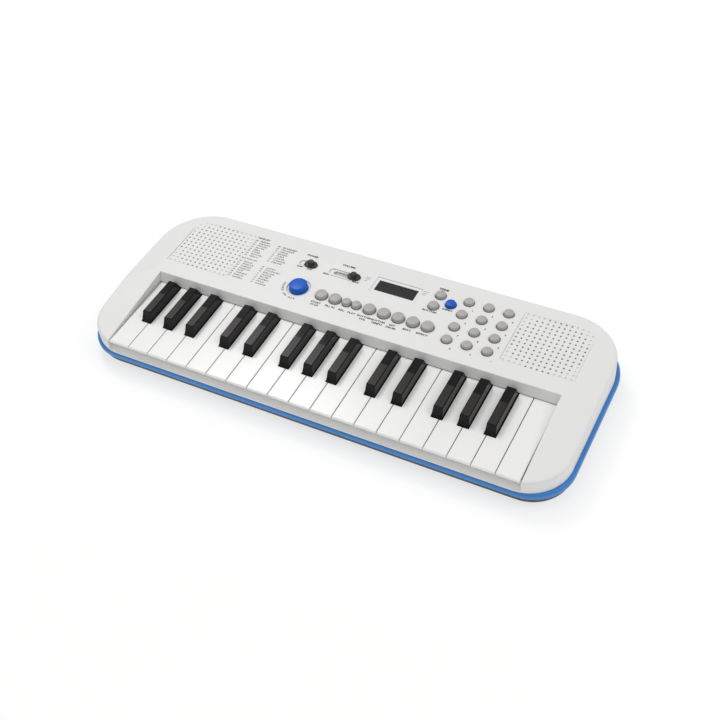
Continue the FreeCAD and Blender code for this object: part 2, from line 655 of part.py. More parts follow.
def cap_solids(name, x, y, radius, rise):
    """Round cap with a soft rim, a flange that holds it in, and a stem down to its switch."""
    cap = rod(name + "_cap", (x, y), "panel_top - wall - flange_thickness - flange_gap",
              f"panel_top + ({rise})", radius)
    soft = round_edges(name + "_soft", cap, "cap_round",
                       lambda edge: edge.BoundBox.ZMin > value(f"panel_top + ({rise})") - 1e-3)
    flange = rod(name + "_flange", (x, y), "panel_top - wall - flange_thickness - flange_gap",
                 "panel_top - wall - flange_gap", f"{radius} + flange")
    stem = rod(name + "_stem", (x, y), "stem_low", "panel_top - wall - flange_thickness", "stem_radius")
    return fuse(name + "_solid", [soft, flange, stem])


def make_buttons():
    """Each push button is a part of its own; the number buttons are twelve solids in one part."""
    for node, x, y, radius, rise in button_places():
        keep(cap_solids(node, x, y, radius, rise), node)
    keep(cap_solids("chord_button", "chord_x", "chord_y", "chord_radius", "chord_rise"), "chord_button")
    numbers = [cap_solids(f"number_{index}", x, y, "number_radius", "number_rise")
               for index, (x, y) in enumerate(number_places())]
    keep(group("number_buttons_group", numbers), "number_buttons")


def make_knobs():
    """Slide knobs: oval plate over the slot, a round nub to push, a stem to the slide switch."""
    for node, x, travel in slide_places():
        reach = "(knob_long - knob_deep) / 2"
        low = "panel_top + knob_lift"
        plate = obround(node + "_plate", f"{x} - {reach}", f"{x} + {reach}", "knob_deep / 2", low,
                        f"{low} + knob_plate")
        plate_top = value(f"{low} + knob_plate")
        soft_plate = round_edges(node + "_soft_plate", plate, "plate_round",
                                 lambda edge: edge.BoundBox.ZMin > plate_top - 1e-3)
        nub = rod(node + "_nub", (x, "slide_y"), low, "panel_top + knob_rise", "nub_radius")
        nub_top = value("panel_top + knob_rise")
        soft_nub = round_edges(node + "_soft_nub", nub, "nub_round",
                               lambda edge: edge.BoundBox.ZMin > nub_top - 1e-3)
        stem = rod(node + "_stem", (x, "slide_y"), "stem_low + 0.4", "panel_top + 1", "slide_stem")
        keep(fuse(node + "_joined", [soft_plate, soft_nub, stem]), node)


# ---------------------------------------------------------------- display and boards

def make_display():
    """Dark window in the panel and the three-digit module below it."""
    top = "panel_top - frame_sink - window_sink"
    half_x = "(display_long / 2 - window_play)"
    half_y = "(display_deep / 2 - window_play)"
    keep(block("window", (f"display_x - {half_x}", f"display_y - {half_y}", f"{top} - window_thickness"),
               (f"display_x + {half_x}", f"display_y + {half_y}", top)), "display_window")
    face = f"{top} - window_thickness - led_gap"
    body = block("led_body", (
        "display_x - display_long / 2 + 2", "display_y - display_deep / 2 + 2", "led_low"), (
        "display_x + display_long / 2 - 2", "display_y + display_deep / 2 - 2", face))
    keep(body, "led_display")


def make_boards():
    """Main board with chip, button switches and slide switches; key contact board below the keys."""
    top = "board_low + board_thickness"
    pieces = [
        block("main_board", ("board_left", "board_front", "board_low"), ("board_right", "board_back", top)),
        block("chip", ("-chip_half", "bay_back - 2 * chip_half", "board_low - chip_height"),
              ("chip_half", "bay_back", "board_low")),
    ]
    places = [(x, y) for node, x, y, radius, rise in button_places()] + number_places()
    places.append(("chord_x", "chord_y"))
    for index, (x, y) in enumerate(places):
        pieces.append(block(f"switch_{index}", (f"{x} - switch_half", f"{y} - switch_half", top),
                            (f"{x} + switch_half", f"{y} + switch_half", f"{top} + switch_height")))
        pieces.append(rod(f"switch_tip_{index}", (x, y), top, f"{top} + switch_height + plunger_height", "1"))
    for node, x, travel in slide_places():
        pieces.append(block(node + "_switch", (f"{x} - {travel} - 4", "slide_y - 3.5", top),
                            (f"{x} + 4", "slide_y + 3.5", f"{top} + 2.6")))
    main = fuse("main_board_full", pieces)
    contact = block("contact_board", (
        "-bed_half + 4", "plunger_y - contact_board_depth / 2", "contact_board_low"), (
        "bed_half - 4", "plunger_y + contact_board_depth / 2", "contact_board_low + board_thickness"))
    keep(group("boards", [main, contact]), "circuit_boards")


def make_rubber_contacts():
    """Rubber strip with one dome under each key."""
    low = "contact_board_low + board_thickness"
    pieces = [block("strip", ("-bed_half + 6", "plunger_y - strip_depth / 2", low),
                    ("bed_half - 6", "plunger_y + strip_depth / 2", f"{low} + strip_thickness"))]
    for index in range(len(WHITE_NOTES)):
        before, after = sharp_after(index - 1), sharp_after(index)
        left = f"({before} + notch_half)" if before else key_left(index)
        right = f"({after} - notch_half)" if after else key_left(index + 1)
        places = [f"(({left}) + ({right})) / 2"] + ([after] if after else [])
        for x in places:
            pieces.append(cone(f"dome_{len(pieces)}", (x, "plunger_y"), low, "dome_top",
                               "dome_radius", "dome_radius - 1"))
    keep(fuse("contact_strip", pieces), "rubber_contacts")


# ---------------------------------------------------------------- speakers and power

def make_speakers():
    """Two cone speakers under the grilles, each a rim, a basket and a magnet."""
    both = []
    for side in (-1, 1):
        centre = (f"{side} * grille_x", "grille_y")
        top = "panel_top - wall - speaker_gap"
        name = "left" if side < 0 else "right"
        body = fuse(f"speaker_{name}", [
            rod(f"rim_{name}", centre, f"{top} - speaker_rim", top, "speaker_radius"),
            cone(f"basket_{name}", centre, "basket_low", f"{top} - speaker_rim",
                 "magnet_radius + 2", "speaker_radius - 3"),
            rod(f"magnet_{name}", centre, "magnet_low", "basket_low", "magnet_radius")])
        both.append(cut(f"speaker_hollow_{name}", body, cone(
            f"bowl_{name}", centre, "basket_low + 3", f"{top} + 1", "9", "speaker_radius - 3")))
    keep(group("speaker_pair", both), "speakers")


def make_batteries():
    """Four cells in two rows, and the spring plates at the ends of the bay."""
    cells = []
    plates = []
    for column in (-1, 1):
        for line in (-1, 1):
            tag = f"{column + 1}{line + 1}"
            y = f"(bay_front + bay_back) / 2 + {line} * cell_step / 2"
            start = "-cell_length - 0.3" if column < 0 else "1.3"
            can = lying_rod(f"cell_{tag}", start, f"{start} + cell_length - 1.5", y, "cell_z", "cell_radius")
            soft = round_edges(f"cell_soft_{tag}", can, "cell_round", lambda edge: True)
            tip = lying_rod(f"cell_tip_{tag}", f"{start} + cell_length - 2", f"{start} + cell_length", y,
                            "cell_z", "tip_radius")
            cells.append(fuse(f"cell_full_{tag}", [soft, tip]))
            wall_x = f"{column} * (bay_half - 0.1)"
            inner_x = f"{column} * (bay_half - 0.1 - contact_thickness)"
            low_x, high_x = (wall_x, inner_x) if column < 0 else (inner_x, wall_x)
            plate = block(f"plate_{tag}", (low_x, f"{y} - contact_half", "cell_z - contact_half"),
                          (high_x, f"{y} + contact_half", "cell_z + contact_half"))
            end_x = f"{column} * (cell_length + 1.6)"
            low_x, high_x = (f"{inner_x} - 0.1", end_x) if column < 0 else (end_x, f"{inner_x} + 0.1")
            coil = lying_rod(f"coil_{tag}", low_x, high_x, y, "cell_z", "coil_radius")
            plates.append(fuse(f"contact_{tag}", [plate, coil]))
    keep(group("cells", cells), "batteries")
    keep(group("contact_plates", plates), "battery_contacts")


def make_fasteners():
    """Case screws from below, and the rubber feet."""
    screws = []
    for index, (x, y) in enumerate(screw_places()):
        head = rod(f"head_{index}", (x, y), "head_seat - head_height", "head_seat", "head_radius")
        soft = round_edges(f"head_soft_{index}", head, "head_round",
                           lambda edge: edge.BoundBox.ZMax < value("head_seat") - 1)
        shank = rod(f"shank_{index}", (x, y), "head_seat - 0.5", "screw_top", "screw_shank")
        cross = [block(
            f"cross_{index}_{wide}", (f"{x} - {wide}", f"{y} - {deep}", "head_seat - head_height - 1"),
            (f"{x} + {wide}", f"{y} + {deep}", "head_seat - head_height + cross_depth"))
            for wide, deep in (("cross_reach", "cross_half"), ("cross_half", "cross_reach"))]
        screws.append(cut(f"screw_{index}", fuse(f"screw_body_{index}", [soft, shank]),
                          fuse(f"cross_{index}", cross)))
    keep(group("screw_set", screws), "screws")
    feet = []
    for side in (-1, 1):
        for end in (-1, 1):
            pad = rod(f"foot_{side + 1}{end + 1}", (f"{side} * foot_x", f"{end} * foot_y"), "0",
                      "foot_height", "foot_radius")
            feet.append(round_edges(f"foot_soft_{side + 1}{end + 1}", pad, "foot_round",
                                    lambda edge: edge.BoundBox.ZMax < 0.1))
    keep(group("foot_set", feet), "rubber_feet")


# ---------------------------------------------------------------- build and export

make_top_case()
make_bottom_case()
make_battery_door()
for key in range(len(WHITE_NOTES)):
    make_white_key(key)
for key in range(len(WHITE_NOTES) - 1):
    if sharp_after(key):
        make_black_key(key)
make_buttons()
make_knobs()
make_display()
make_boards()
make_rubber_contacts()
make_speakers()
make_batteries()
make_fasteners()
doc.recompute()

faults = [thing.Name for thing in doc.Objects if "Invalid" in thing.State or "Error" in thing.State]
for node, thing in EXPORTS:
    if thing.Shape.isNull() or not thing.Shape.isValid() or thing.Shape.Volume < 1:
        faults.append(node)
if faults:
    raise SystemExit("failed objects: " + ", ".join(faults))

os.makedirs("parts", exist_ok=True)
for node, thing in EXPORTS:
    thing.Shape.exportStep(f"parts/{node}.step")
    print(f"{node}: {len(thing.Shape.Solids)} solid(s), {thing.Shape.Volume / 1000:.2f} cm3")
print(len(EXPORTS), "parts")
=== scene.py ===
"""Looks of the toy electronic keyboard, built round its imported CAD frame. Metres, +Z up."""
import math

import bmesh
import bpy
from mathutils import Matrix, Vector


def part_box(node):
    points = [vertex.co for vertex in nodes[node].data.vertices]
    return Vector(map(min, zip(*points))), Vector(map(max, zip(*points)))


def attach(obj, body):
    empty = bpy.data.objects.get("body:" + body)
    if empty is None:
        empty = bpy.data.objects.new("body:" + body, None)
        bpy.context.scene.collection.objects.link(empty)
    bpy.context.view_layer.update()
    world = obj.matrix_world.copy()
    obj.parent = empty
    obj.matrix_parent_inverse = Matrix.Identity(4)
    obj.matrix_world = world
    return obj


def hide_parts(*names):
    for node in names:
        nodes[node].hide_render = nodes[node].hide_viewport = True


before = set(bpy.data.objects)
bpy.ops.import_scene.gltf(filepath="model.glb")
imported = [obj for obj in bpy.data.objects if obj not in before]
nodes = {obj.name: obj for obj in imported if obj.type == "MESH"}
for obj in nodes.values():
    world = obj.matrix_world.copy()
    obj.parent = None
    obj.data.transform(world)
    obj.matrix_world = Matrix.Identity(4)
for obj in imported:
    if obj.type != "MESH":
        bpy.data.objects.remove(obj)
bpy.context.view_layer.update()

scene = bpy.context.scene
MM = 0.001                                   # the mesh helpers below take millimetres
PANEL = 0.037                                # height of the level panel, in metres

CAMERA_ANGLES = (32.29, 46.63, -6.99)        # azimuth, elevation and roll, in degrees
CAMERA_PLACE = (0.360, -0.5559, 0.6956)
LENS, SENSOR = 55.19, 36                     # in mm

KEY_ZONE_END = (-0.0272, -0.0262)            # y where the front zone of a black key, rougher and painted a lighter brown as a painted reflection, fades out
TRAY_BAND_START = (0.0088, 0.0094)           # z where the painted shade on the tray's lower body gives way to its blue band


# ---------------------------------------------------------------- camera

def make_camera():
    """Camera at the reference view, from the front and above, slightly rolled."""
    azimuth, elevation, roll = (math.radians(angle) for angle in CAMERA_ANGLES)
    back = Vector((math.sin(azimuth) * math.cos(elevation),
                   -math.cos(azimuth) * math.cos(elevation), math.sin(elevation)))
    right = Vector((math.cos(azimuth), math.sin(azimuth), 0))
    up = back.cross(right)
    turned_right = math.cos(roll) * right + math.sin(roll) * up
    turned_up = math.cos(roll) * up - math.sin(roll) * right
    data = bpy.data.cameras.new("camera")
    data.sensor_width = SENSOR
    data.lens = LENS
    data.clip_start = 0.01
    camera = bpy.data.objects.new("camera", data)
    rotation = Matrix((turned_right, turned_up, back)).transposed().to_4x4()
    camera.matrix_world = Matrix.Translation(CAMERA_PLACE) @ rotation
    scene.collection.objects.link(camera)
    scene.camera = camera


# ---------------------------------------------------------------- materials

class Finish:
    """A node material under construction, with object-space coordinates."""

    def __init__(self, name):
        self.material = bpy.data.materials.new(name)
        self.material.use_nodes = True
        self.tree = self.material.node_tree
        self.tree.nodes.clear()
        self.shader = self.add("ShaderNodeBsdfPrincipled")
        output = self.add("ShaderNodeOutputMaterial")
        self.link(self.shader.outputs[0], output.inputs[0])
        self.place = self.add("ShaderNodeTexCoord").outputs["Object"]

    def add(self, kind, **settings):
        node = self.tree.nodes.new(kind)
        for key, setting in settings.items():
            setattr(node, key, setting)
        return node

    def link(self, start, end):
        self.tree.links.new(start, end)

    def put(self, socket, content):
        """Sets a socket to a number or colour, or links it."""
        if isinstance(content, bpy.types.NodeSocket):
            self.link(content, socket)
        elif isinstance(content, tuple) and len(content) < len(socket.default_value):
            socket.default_value = (*content, 1)
        else:
            socket.default_value = content

    def set(self, **sockets):
        """Sets or links sockets of the shader, by name with underscores for spaces."""
        for name, content in sockets.items():
            self.put(self.shader.inputs[name.replace("_", " ")], content)

    def source(self, name):
        """What feeds a socket of the shader so far."""
        return self.shader.inputs[name].links[0].from_socket

    def stretched(self, scale):
        """Object coordinates, scaled along each axis."""
        mapping = self.add("ShaderNodeMapping")
        self.link(self.place, mapping.inputs["Vector"])
        mapping.inputs["Scale"].default_value = scale
        return mapping.outputs[0]

    def noise(self, size, detail=2.0, roughness=0.5, stretch=(1, 1, 1), distortion=0.0):
        """Noise whose features are about size metres across."""
        node = self.add("ShaderNodeTexNoise")
        self.link(self.stretched(tuple(s / size for s in stretch)), node.inputs["Vector"])
        node.inputs["Scale"].default_value = 1
        node.inputs["Detail"].default_value = detail
        node.inputs["Roughness"].default_value = roughness
        node.inputs["Distortion"].default_value = distortion
        return node.outputs["Fac"]

    def cells(self, size, feature="F1", stretch=(1, 1, 1)):
        """Distance pattern of cells about size metres across."""
        node = self.add("ShaderNodeTexVoronoi", feature=feature)
        self.link(self.stretched(tuple(s / size for s in stretch)), node.inputs["Vector"])
        node.inputs["Scale"].default_value = 1
        return node.outputs["Distance"]

    def remap(self, factor, low, high, to_low=0.0, to_high=1.0):
        node = self.add("ShaderNodeMapRange")
        for name, content in (("Value", factor), ("From Min", low), ("From Max", high),
                              ("To Min", to_low), ("To Max", to_high)):
            self.put(node.inputs[name], content)
        return node.outputs[0]

    def math(self, operation, first, second=0.0):
        node = self.add("ShaderNodeMath", operation=operation)
        self.put(node.inputs[0], first)
        self.put(node.inputs[1], second)
        return node.outputs[0]

    def mix(self, factor, first, second, blend="MIX"):
        node = self.add("ShaderNodeMix", data_type="RGBA", blend_type=blend)
        for index, content in ((0, factor), (6, first), (7, second)):
            self.put(node.inputs[index], content)
        return node.outputs[2]

    def axis(self, name):
        """One object-space coordinate, in metres."""
        node = self.add("ShaderNodeSeparateXYZ")
        self.link(self.place, node.inputs[0])
        return node.outputs[name]

    def facing(self, name):
        """One part of the surface normal, in object space."""
        node = self.add("ShaderNodeSeparateXYZ")
        self.link(self.add("ShaderNodeTexCoord").outputs["Normal"], node.inputs[0])
        return node.outputs[name]

    def eased(self, radius):
        """Normal with every sharp edge softened over the radius."""
        node = self.add("ShaderNodeBevel", samples=6)
        node.inputs["Radius"].default_value = radius
        return node.outputs[0]

    def edges(self, radius):
        """1 along sharp edges, 0 on open faces."""
        geometry = self.add("ShaderNodeNewGeometry")
        node = self.add("ShaderNodeVectorMath", operation="DOT_PRODUCT")
        self.link(self.eased(radius), node.inputs[0])
        self.link(geometry.outputs["Normal"], node.inputs[1])
        return self.remap(node.outputs["Value"], 0.995, 0.85)

    def crevice(self, reach):
        """1 in narrow gaps, 0 on open faces."""
        node = self.add("ShaderNodeAmbientOcclusion", samples=4)
        node.inputs["Distance"].default_value = reach
        return self.remap(node.outputs["AO"], 0.25, 0.8, 1.0, 0.0)

    def bump(self, height, strength, distance, normal=None):
        node = self.add("ShaderNodeBump")
        node.inputs["Strength"].default_value = strength
        node.inputs["Distance"].default_value = distance
        self.link(height, node.inputs["Height"])
        if normal:
            self.link(normal, node.inputs["Normal"])
        return node.outputs[0]


def plastic(name, colour, roughness, shade=0.95, grain=0.00045, depth=0.00001, ease=0.0,
            scratch=0.05, gap_shade=0.0, gap_shade_colour=(0.32, 0.29, 0.25), rub=0.0, gloss=0.5,
            flow=(1, 1, 1)):
    """Moulded plastic: slow tint changes, fine grain and hairline scratches.

    ease softens sharp edges in the shading, rub lightens them, and the gap setting paints shade into
    narrow gaps.
    """
    made = Finish(name)
    darker = tuple(c * shade for c in colour)
    warm = tuple(c * k for c, k in zip(colour, (1.0, 0.985, 0.955)))
    slow = made.noise(0.07, detail=3, stretch=flow)
    blotch = made.noise(0.009, detail=4, roughness=0.6)
    tone = made.mix(made.remap(slow, 0.35, 0.65), colour, darker)
    tone = made.mix(made.remap(blotch, 0.45, 0.75, 0, 0.5), tone, warm)
    fine = made.noise(grain, detail=2, roughness=0.6)
    pits = made.cells(grain * 2.2)
    hair = made.noise(0.0011, detail=1, stretch=(0.06, 1, 1), distortion=0.4)
    hair = made.remap(hair, 0.66, 0.72, 0, 1)
    patch = made.remap(made.noise(0.03, detail=2), 0.5, 0.68, 0, 1)
    marks = made.math("MULTIPLY", hair, patch)
    rough = made.remap(blotch, 0.3, 0.7, roughness * 0.88, min(1, roughness * 1.12))
    rough = made.math("ADD", rough, made.math("MULTIPLY", fine, 0.05))
    rough = made.math("ADD", rough, made.math("MULTIPLY", marks, scratch))
    if rub:
        edge = made.edges(0.0005)
        rubbed = tuple(min(1, c * 1.25 + 0.03) for c in colour)
        tone = made.mix(made.math("MULTIPLY", edge, rub), tone, rubbed)
        rough = made.math("SUBTRACT", rough, made.math("MULTIPLY", edge, roughness * 0.25))
    # Painted shade: where the AO node finds a narrow gap, the colour is darkened towards the given
    # shade colour.
    if gap_shade:
        gap_shade_mask = made.math("MULTIPLY", made.crevice(0.0016), gap_shade)
        tone = made.mix(gap_shade_mask, tone, gap_shade_colour)
    height = made.math("ADD", fine, made.math("MULTIPLY", pits, 0.6))
    height = made.math("SUBTRACT", height, made.math("MULTIPLY", marks, 0.8))
    normal = made.bump(height, 0.5, depth, made.eased(ease) if ease else None)
    made.set(Base_Color=tone, Roughness=rough, Normal=normal, Specular_IOR_Level=gloss)
    return made


def black_key_finish():
    """Polished black caps whose playing zone, the front part of the top, is finely textured, rougher
    and painted a lighter warm brown as a painted reflection.
    """
    made = plastic("black_key_gloss", (0.0022, 0.002, 0.0028), 0.12, shade=0.8, grain=0.0004,
                   depth=0.000006, ease=0.0006, scratch=0.12, gloss=0.22, flow=(3, 0.6, 1))
    in_front = made.remap(made.axis("Y"), *KEY_ZONE_END, 1, 0)
    on_top = made.remap(made.facing("Z"), 0.97, 0.995)
    zone = made.math("MULTIPLY", in_front, on_top)
    # Painted reflection: top faces of the front zone get a streaky lighter warm brown in place of the
    # black, for the reflection of the surroundings.
    streaks = made.noise(0.0016, detail=3, stretch=(1, 0.08, 1))
    reflection_tone = made.remap(streaks, 0.3, 0.75, 0.018, 0.030)
    colour = made.add("ShaderNodeCombineColor")
    for socket, k in (("Red", 1.0), ("Green", 0.86), ("Blue", 0.80)):
        made.link(made.math("MULTIPLY", reflection_tone, k), colour.inputs[socket])
    rougher = made.math("MULTIPLY", zone, 0.12)
    made.set(Base_Color=made.mix(zone, made.source("Base Color"), colour.outputs[0]),
             Roughness=made.math("ADD", made.source("Roughness"), rougher))
    return made


def tray_finish():
    """Blue tray whose body below the bright band is painted a mottled dark slate, as painted shade
    under the case.
    """
    made = plastic("blue_tray", (0.036, 0.225, 0.62), 0.36, shade=0.93, depth=0.000014, ease=0.0005,
                   scratch=0.1, rub=0.25, gap_shade=0.2, gap_shade_colour=(0.03, 0.08, 0.16))
    # Painted shade: below the band the blue turns to dark slate for the shade under the case; the
    # noise named dust only mottles this painted shade.
    dust = made.noise(0.006, detail=4, roughness=0.65)
    under = made.mix(made.remap(dust, 0.35, 0.7), (0.035, 0.042, 0.055), (0.06, 0.066, 0.075))
    below = made.remap(made.axis("Z"), *TRAY_BAND_START, 1, 0)
    made.set(Base_Color=made.mix(below, made.source("Base Color"), under))
    return made


def white_key_finish():
    """Glossy white caps with faint patches of finger polish and painted shade in the gaps."""
    made = plastic("white_key_gloss", (0.90, 0.90, 0.895), 0.24, shade=0.985, grain=0.0007,
                   depth=0.000004, scratch=0.12, ease=0.0005, gap_shade=0.35,
                   gap_shade_colour=(0.30, 0.28, 0.26), flow=(2, 0.5, 1))
    polish = made.remap(made.noise(0.018, detail=3, stretch=(1, 0.5, 1)), 0.4, 0.65, 0, 1)
    smoother = made.math("MULTIPLY", polish, 0.05)
    made.set(Roughness=made.math("SUBTRACT", made.source("Roughness"), smoother))
    return made


def smoked_window_finish():
    """Clear window with a dark violet tint, wiped smears and specks of dust."""
    made = Finish("smoked_window")
    smear = made.noise(0.012, detail=5, roughness=0.65, stretch=(0.4, 1, 1))
    dust = made.remap(made.noise(0.0006, detail=2), 0.68, 0.75)
    tone = made.mix(made.remap(smear, 0.35, 0.7), (0.07, 0.058, 0.08), (0.10, 0.085, 0.11))
    tone = made.mix(made.math("MULTIPLY", dust, 0.25), tone, (0.5, 0.48, 0.46))
    rough = made.remap(smear, 0.3, 0.7, 0.03, 0.10)
    normal = made.bump(made.noise(0.004, detail=2), 0.15, 0.00002)
    made.set(Base_Color=tone, Roughness=rough, Normal=normal, Transmission_Weight=0.9, IOR=1.49)
    return made


def ink_finish(name, colour):
    """Pad-printed ink: slightly uneven cover and a dry, matt surface."""
    made = Finish(name)
    speck = made.noise(0.0003, detail=3)
    cover = made.noise(0.004, detail=2)
    thin = tuple(min(1, c * 1.5 + 0.02) for c in colour)
    bare = tuple(min(1, c * 2 + 0.08) for c in colour)
    tone = made.mix(made.remap(cover, 0.3, 0.7), colour, thin)
    tone = made.mix(made.remap(speck, 0.62, 0.78, 0, 0.5), tone, bare)
    made.set(Base_Color=tone, Roughness=made.remap(speck, 0.3, 0.7, 0.45, 0.62),
             Normal=made.bump(speck, 0.4, 0.00001))
    return made


def rubber_finish(name, colour, roughness):
    """Matt rubber: fine pebble, dust that clings to it, soft sheen."""
    made = Finish(name)
    pebble = made.cells(0.0009)
    dust = made.noise(0.005, detail=5, roughness=0.7)
    dusty = tuple(c * 0.7 + 0.09 for c in colour)
    tone = made.mix(made.remap(dust, 0.45, 0.75, 0, 0.5), colour, dusty)
    made.set(Base_Color=tone, Normal=made.bump(pebble, 0.5, 0.00003), Sheen_Weight=0.15,
             Roughness=made.remap(dust, 0.3, 0.7, roughness, min(1, roughness + 0.12)))
    return made


def metal_finish(name, colour, roughness):
    """Plated metal: drawn lines, dulled patches and a little stain in the corners."""
    made = Finish(name)
    stain = (0.35, 0.30, 0.25)
    lines = made.noise(0.0016, detail=3, stretch=(1, 12, 12))
    dull = made.noise(0.004, detail=4, roughness=0.65)
    tone = made.mix(made.remap(lines, 0.3, 0.7), colour, tuple(c * 0.82 for c in colour))
    tone = made.mix(made.math("MULTIPLY", made.crevice(0.001), 0.5), tone, stain)
    made.set(Base_Color=tone, Metallic=1.0, Normal=made.bump(lines, 0.4, 0.00002),
             Roughness=made.remap(dull, 0.3, 0.7, roughness, roughness + 0.2))
    return made


def board_finish():
    """Green solder mask with copper tracks showing through, pads and flux marks."""
    made = Finish("circuit_board")
    tracks = made.cells(0.0032, feature="DISTANCE_TO_EDGE", stretch=(1, 0.35, 1))
    line = made.remap(tracks, 0.03, 0.06, 1, 0)
    pads = made.remap(made.cells(0.0042), 0.16, 0.2, 1, 0)
    mottling = made.noise(0.012, detail=4)
    tone = made.mix(made.remap(mottling, 0.3, 0.7), (0.010, 0.085, 0.035), (0.016, 0.12, 0.05))
    tone = made.mix(made.math("MULTIPLY", line, 0.6), tone, (0.05, 0.22, 0.07))
    tone = made.mix(pads, tone, (0.62, 0.6, 0.56))
    made.set(Base_Color=tone, Roughness=made.remap(mottling, 0.3, 0.7, 0.28, 0.4),
             Metallic=made.math("MULTIPLY", pads, 0.9), Normal=made.bump(line, 0.4, 0.00003))
    return made


def cell_finish():
    """Printed cell jacket: two greens that meet in the middle of the bay, with shrink creases."""
    made = Finish("cell_jacket")
    crease = made.noise(0.006, detail=4, stretch=(0.2, 1, 1))
    band = made.remap(made.axis("X"), -0.0002, 0.0002)
    tone = made.mix(band, (0.015, 0.09, 0.035), (0.02, 0.11, 0.045))
    tone = made.mix(made.remap(crease, 0.55, 0.7, 0, 0.4), tone, (0.25, 0.3, 0.24))
    made.set(Base_Color=tone, Roughness=made.remap(crease, 0.3, 0.7, 0.25, 0.4), Metallic=0.35,
             Normal=made.bump(crease, 0.5, 0.00005))
    return made


def floor_finish():
    """Plain pale studio floor, partly self-lit so that it shows white like a lit backdrop."""
    made = Finish("studio_floor")
    mottling = made.remap(made.noise(0.05, detail=3), 0.3, 0.7)
    made.set(Base_Color=made.mix(mottling, (0.36, 0.36, 0.36), (0.37, 0.37, 0.37)),
             Roughness=0.9, Emission_Color=(1, 1, 1), Emission_Strength=0.66)
    return made


def wear(node_or_piece, finish):
    """Gives an object its one material."""
    node_or_piece.data.materials.clear()
    node_or_piece.data.materials.append(finish.material)


# ---------------------------------------------------------------- mesh helpers

def new_piece(name, shape, finish, body, smooth=35):
    """Object from a bmesh, shaded smooth up to an angle, with its material and its body."""
    bmesh.ops.remove_doubles(shape, verts=shape.verts, dist=1e-7)
    bmesh.ops.recalc_face_normals(shape, faces=shape.faces)
    data = bpy.data.meshes.new(name)
    shape.to_mesh(data)
    shape.free()
    data.shade_smooth()
    data.set_sharp_from_angle(angle=math.radians(smooth))
    piece = bpy.data.objects.new(name, data)
    scene.collection.objects.link(piece)
    wear(piece, finish)
    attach(piece, body)
    return piece


def level_ring(shape, corners, height):
    """Vertices over a list of (x, y) corners at one height, in mm."""
    return [shape.verts.new((x * MM, y * MM, height * MM)) for x, y in corners]


def close_rings(shape, rings):
    """Joins rings of equal length into one closed form."""
    for low, high in zip(rings, rings[1:]):
        for step in range(len(low)):
            after = (step + 1) % len(low)
            shape.faces.new((low[step], low[after], high[after], high[step]))
    shape.faces.new(list(reversed(rings[0])))
    shape.faces.new(rings[-1])


def turn(shape, centre, profile, steps=48):
    """Adds a closed lathe form about an upright axis.

    The profile is a list of (radius, height) in mm. It starts and ends on the axis, or ends where
    it starts.
    """
    rings = []
    for radius, height in profile:
        if radius == 0:
            rings.append(level_ring(shape, [centre], height))
            continue
        angles = [2 * math.pi * (step + 0.5) / steps for step in range(steps)]
        rings.append(level_ring(shape, [(centre[0] + radius * math.cos(angle),
                                         centre[1] + radius * math.sin(angle)) for angle in angles],
                                height))
    for low, high in zip(rings, rings[1:]):
        for step in range(steps):
            after = (step + 1) % steps
            if len(low) == 1:
                shape.faces.new((low[0], high[after], high[step]))
            elif len(high) == 1:
                shape.faces.new((low[step], low[after], high[0]))
            else:
                shape.faces.new((low[step], low[after], high[after], high[step]))


def arc(centre_r, centre_z, radius, start, end, steps=6):
    """Profile points on a circular arc, degrees from the outward direction."""
    points = []
    for step in range(steps + 1):
        angle = math.radians(start + (end - start) * step / steps)
        points.append((centre_r + radius * math.cos(angle), centre_z + radius * math.sin(angle)))
    return points


def slab(shape, corners, low, high):
    """Adds an upright prism over a list of (x, y) corners in mm."""
    close_rings(shape, [level_ring(shape, corners, low), level_ring(shape, corners, high)])


# ---------------------------------------------------------------- buttons

FLANGE = 0.5                                 # how far a cap's retaining flange stands out
FLANGE_HEIGHTS = (33.05, 33.75)
CAP_FOOT, CAP_WALL_TOP = 32.95, 36.9
CAP_DRAFT = 0.18
NUMBER_RADIUS = 4.4
ROW = ["start_button", "fill_button", "record_button", "play_button", "rhythm_volume_button",
       "rhythm_tempo_button", "key_drum_button", "beat_button", "effect_button"]


def cap_profile(radius, top, shoulder, dome):
    """Round push cap: foot, retaining flange, drafted wall, rounded shoulder and shallow dome."""
    flange_low, flange_high = FLANGE_HEIGHTS
    profile = [(0, CAP_FOOT), (1.5, CAP_FOOT), (1.6, flange_low), (radius + FLANGE, flange_low),
               (radius + FLANGE, flange_high), (radius, 33.8), (radius, CAP_WALL_TOP)]
    inner = radius - CAP_DRAFT - shoulder
    profile += arc(inner, top - dome - shoulder, shoulder, 4, 82)
    profile += [(inner * part, top - dome * part * part) for part in (0.8, 0.55, 0.3)]
    return profile + [(0, top)]


def middle(node):
    """Centre x and y, and half the width, of a node's box, in mm."""
    low, high = (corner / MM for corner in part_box(node))
    return (low.x + high.x) / 2, (low.y + high.y) / 2, (high.x - low.x) / 2


def make_button(node, finish, shoulder, dome):
    """One button cap in place of its plain CAD solid."""
    x, y, reach = middle(node)
    shape = bmesh.new()
    turn(shape, (x, y), cap_profile(reach - FLANGE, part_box(node)[1].z / MM, shoulder, dome))
    piece = new_piece(node + "_cap", shape, finish, node, smooth=30)
    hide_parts(node)


def number_centres():
    """Centres of the twelve number buttons in mm, front row first."""
    low, high = (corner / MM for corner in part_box("number_buttons"))
    reach = NUMBER_RADIUS + FLANGE
    columns = [low.x + reach + (high.x - low.x - 2 * reach) * k / 2 for k in range(3)]
    rows = [low.y + reach + (high.y - low.y - 2 * reach) * k / 3 for k in range(4)]
    return [(x, y) for y in rows for x in columns]


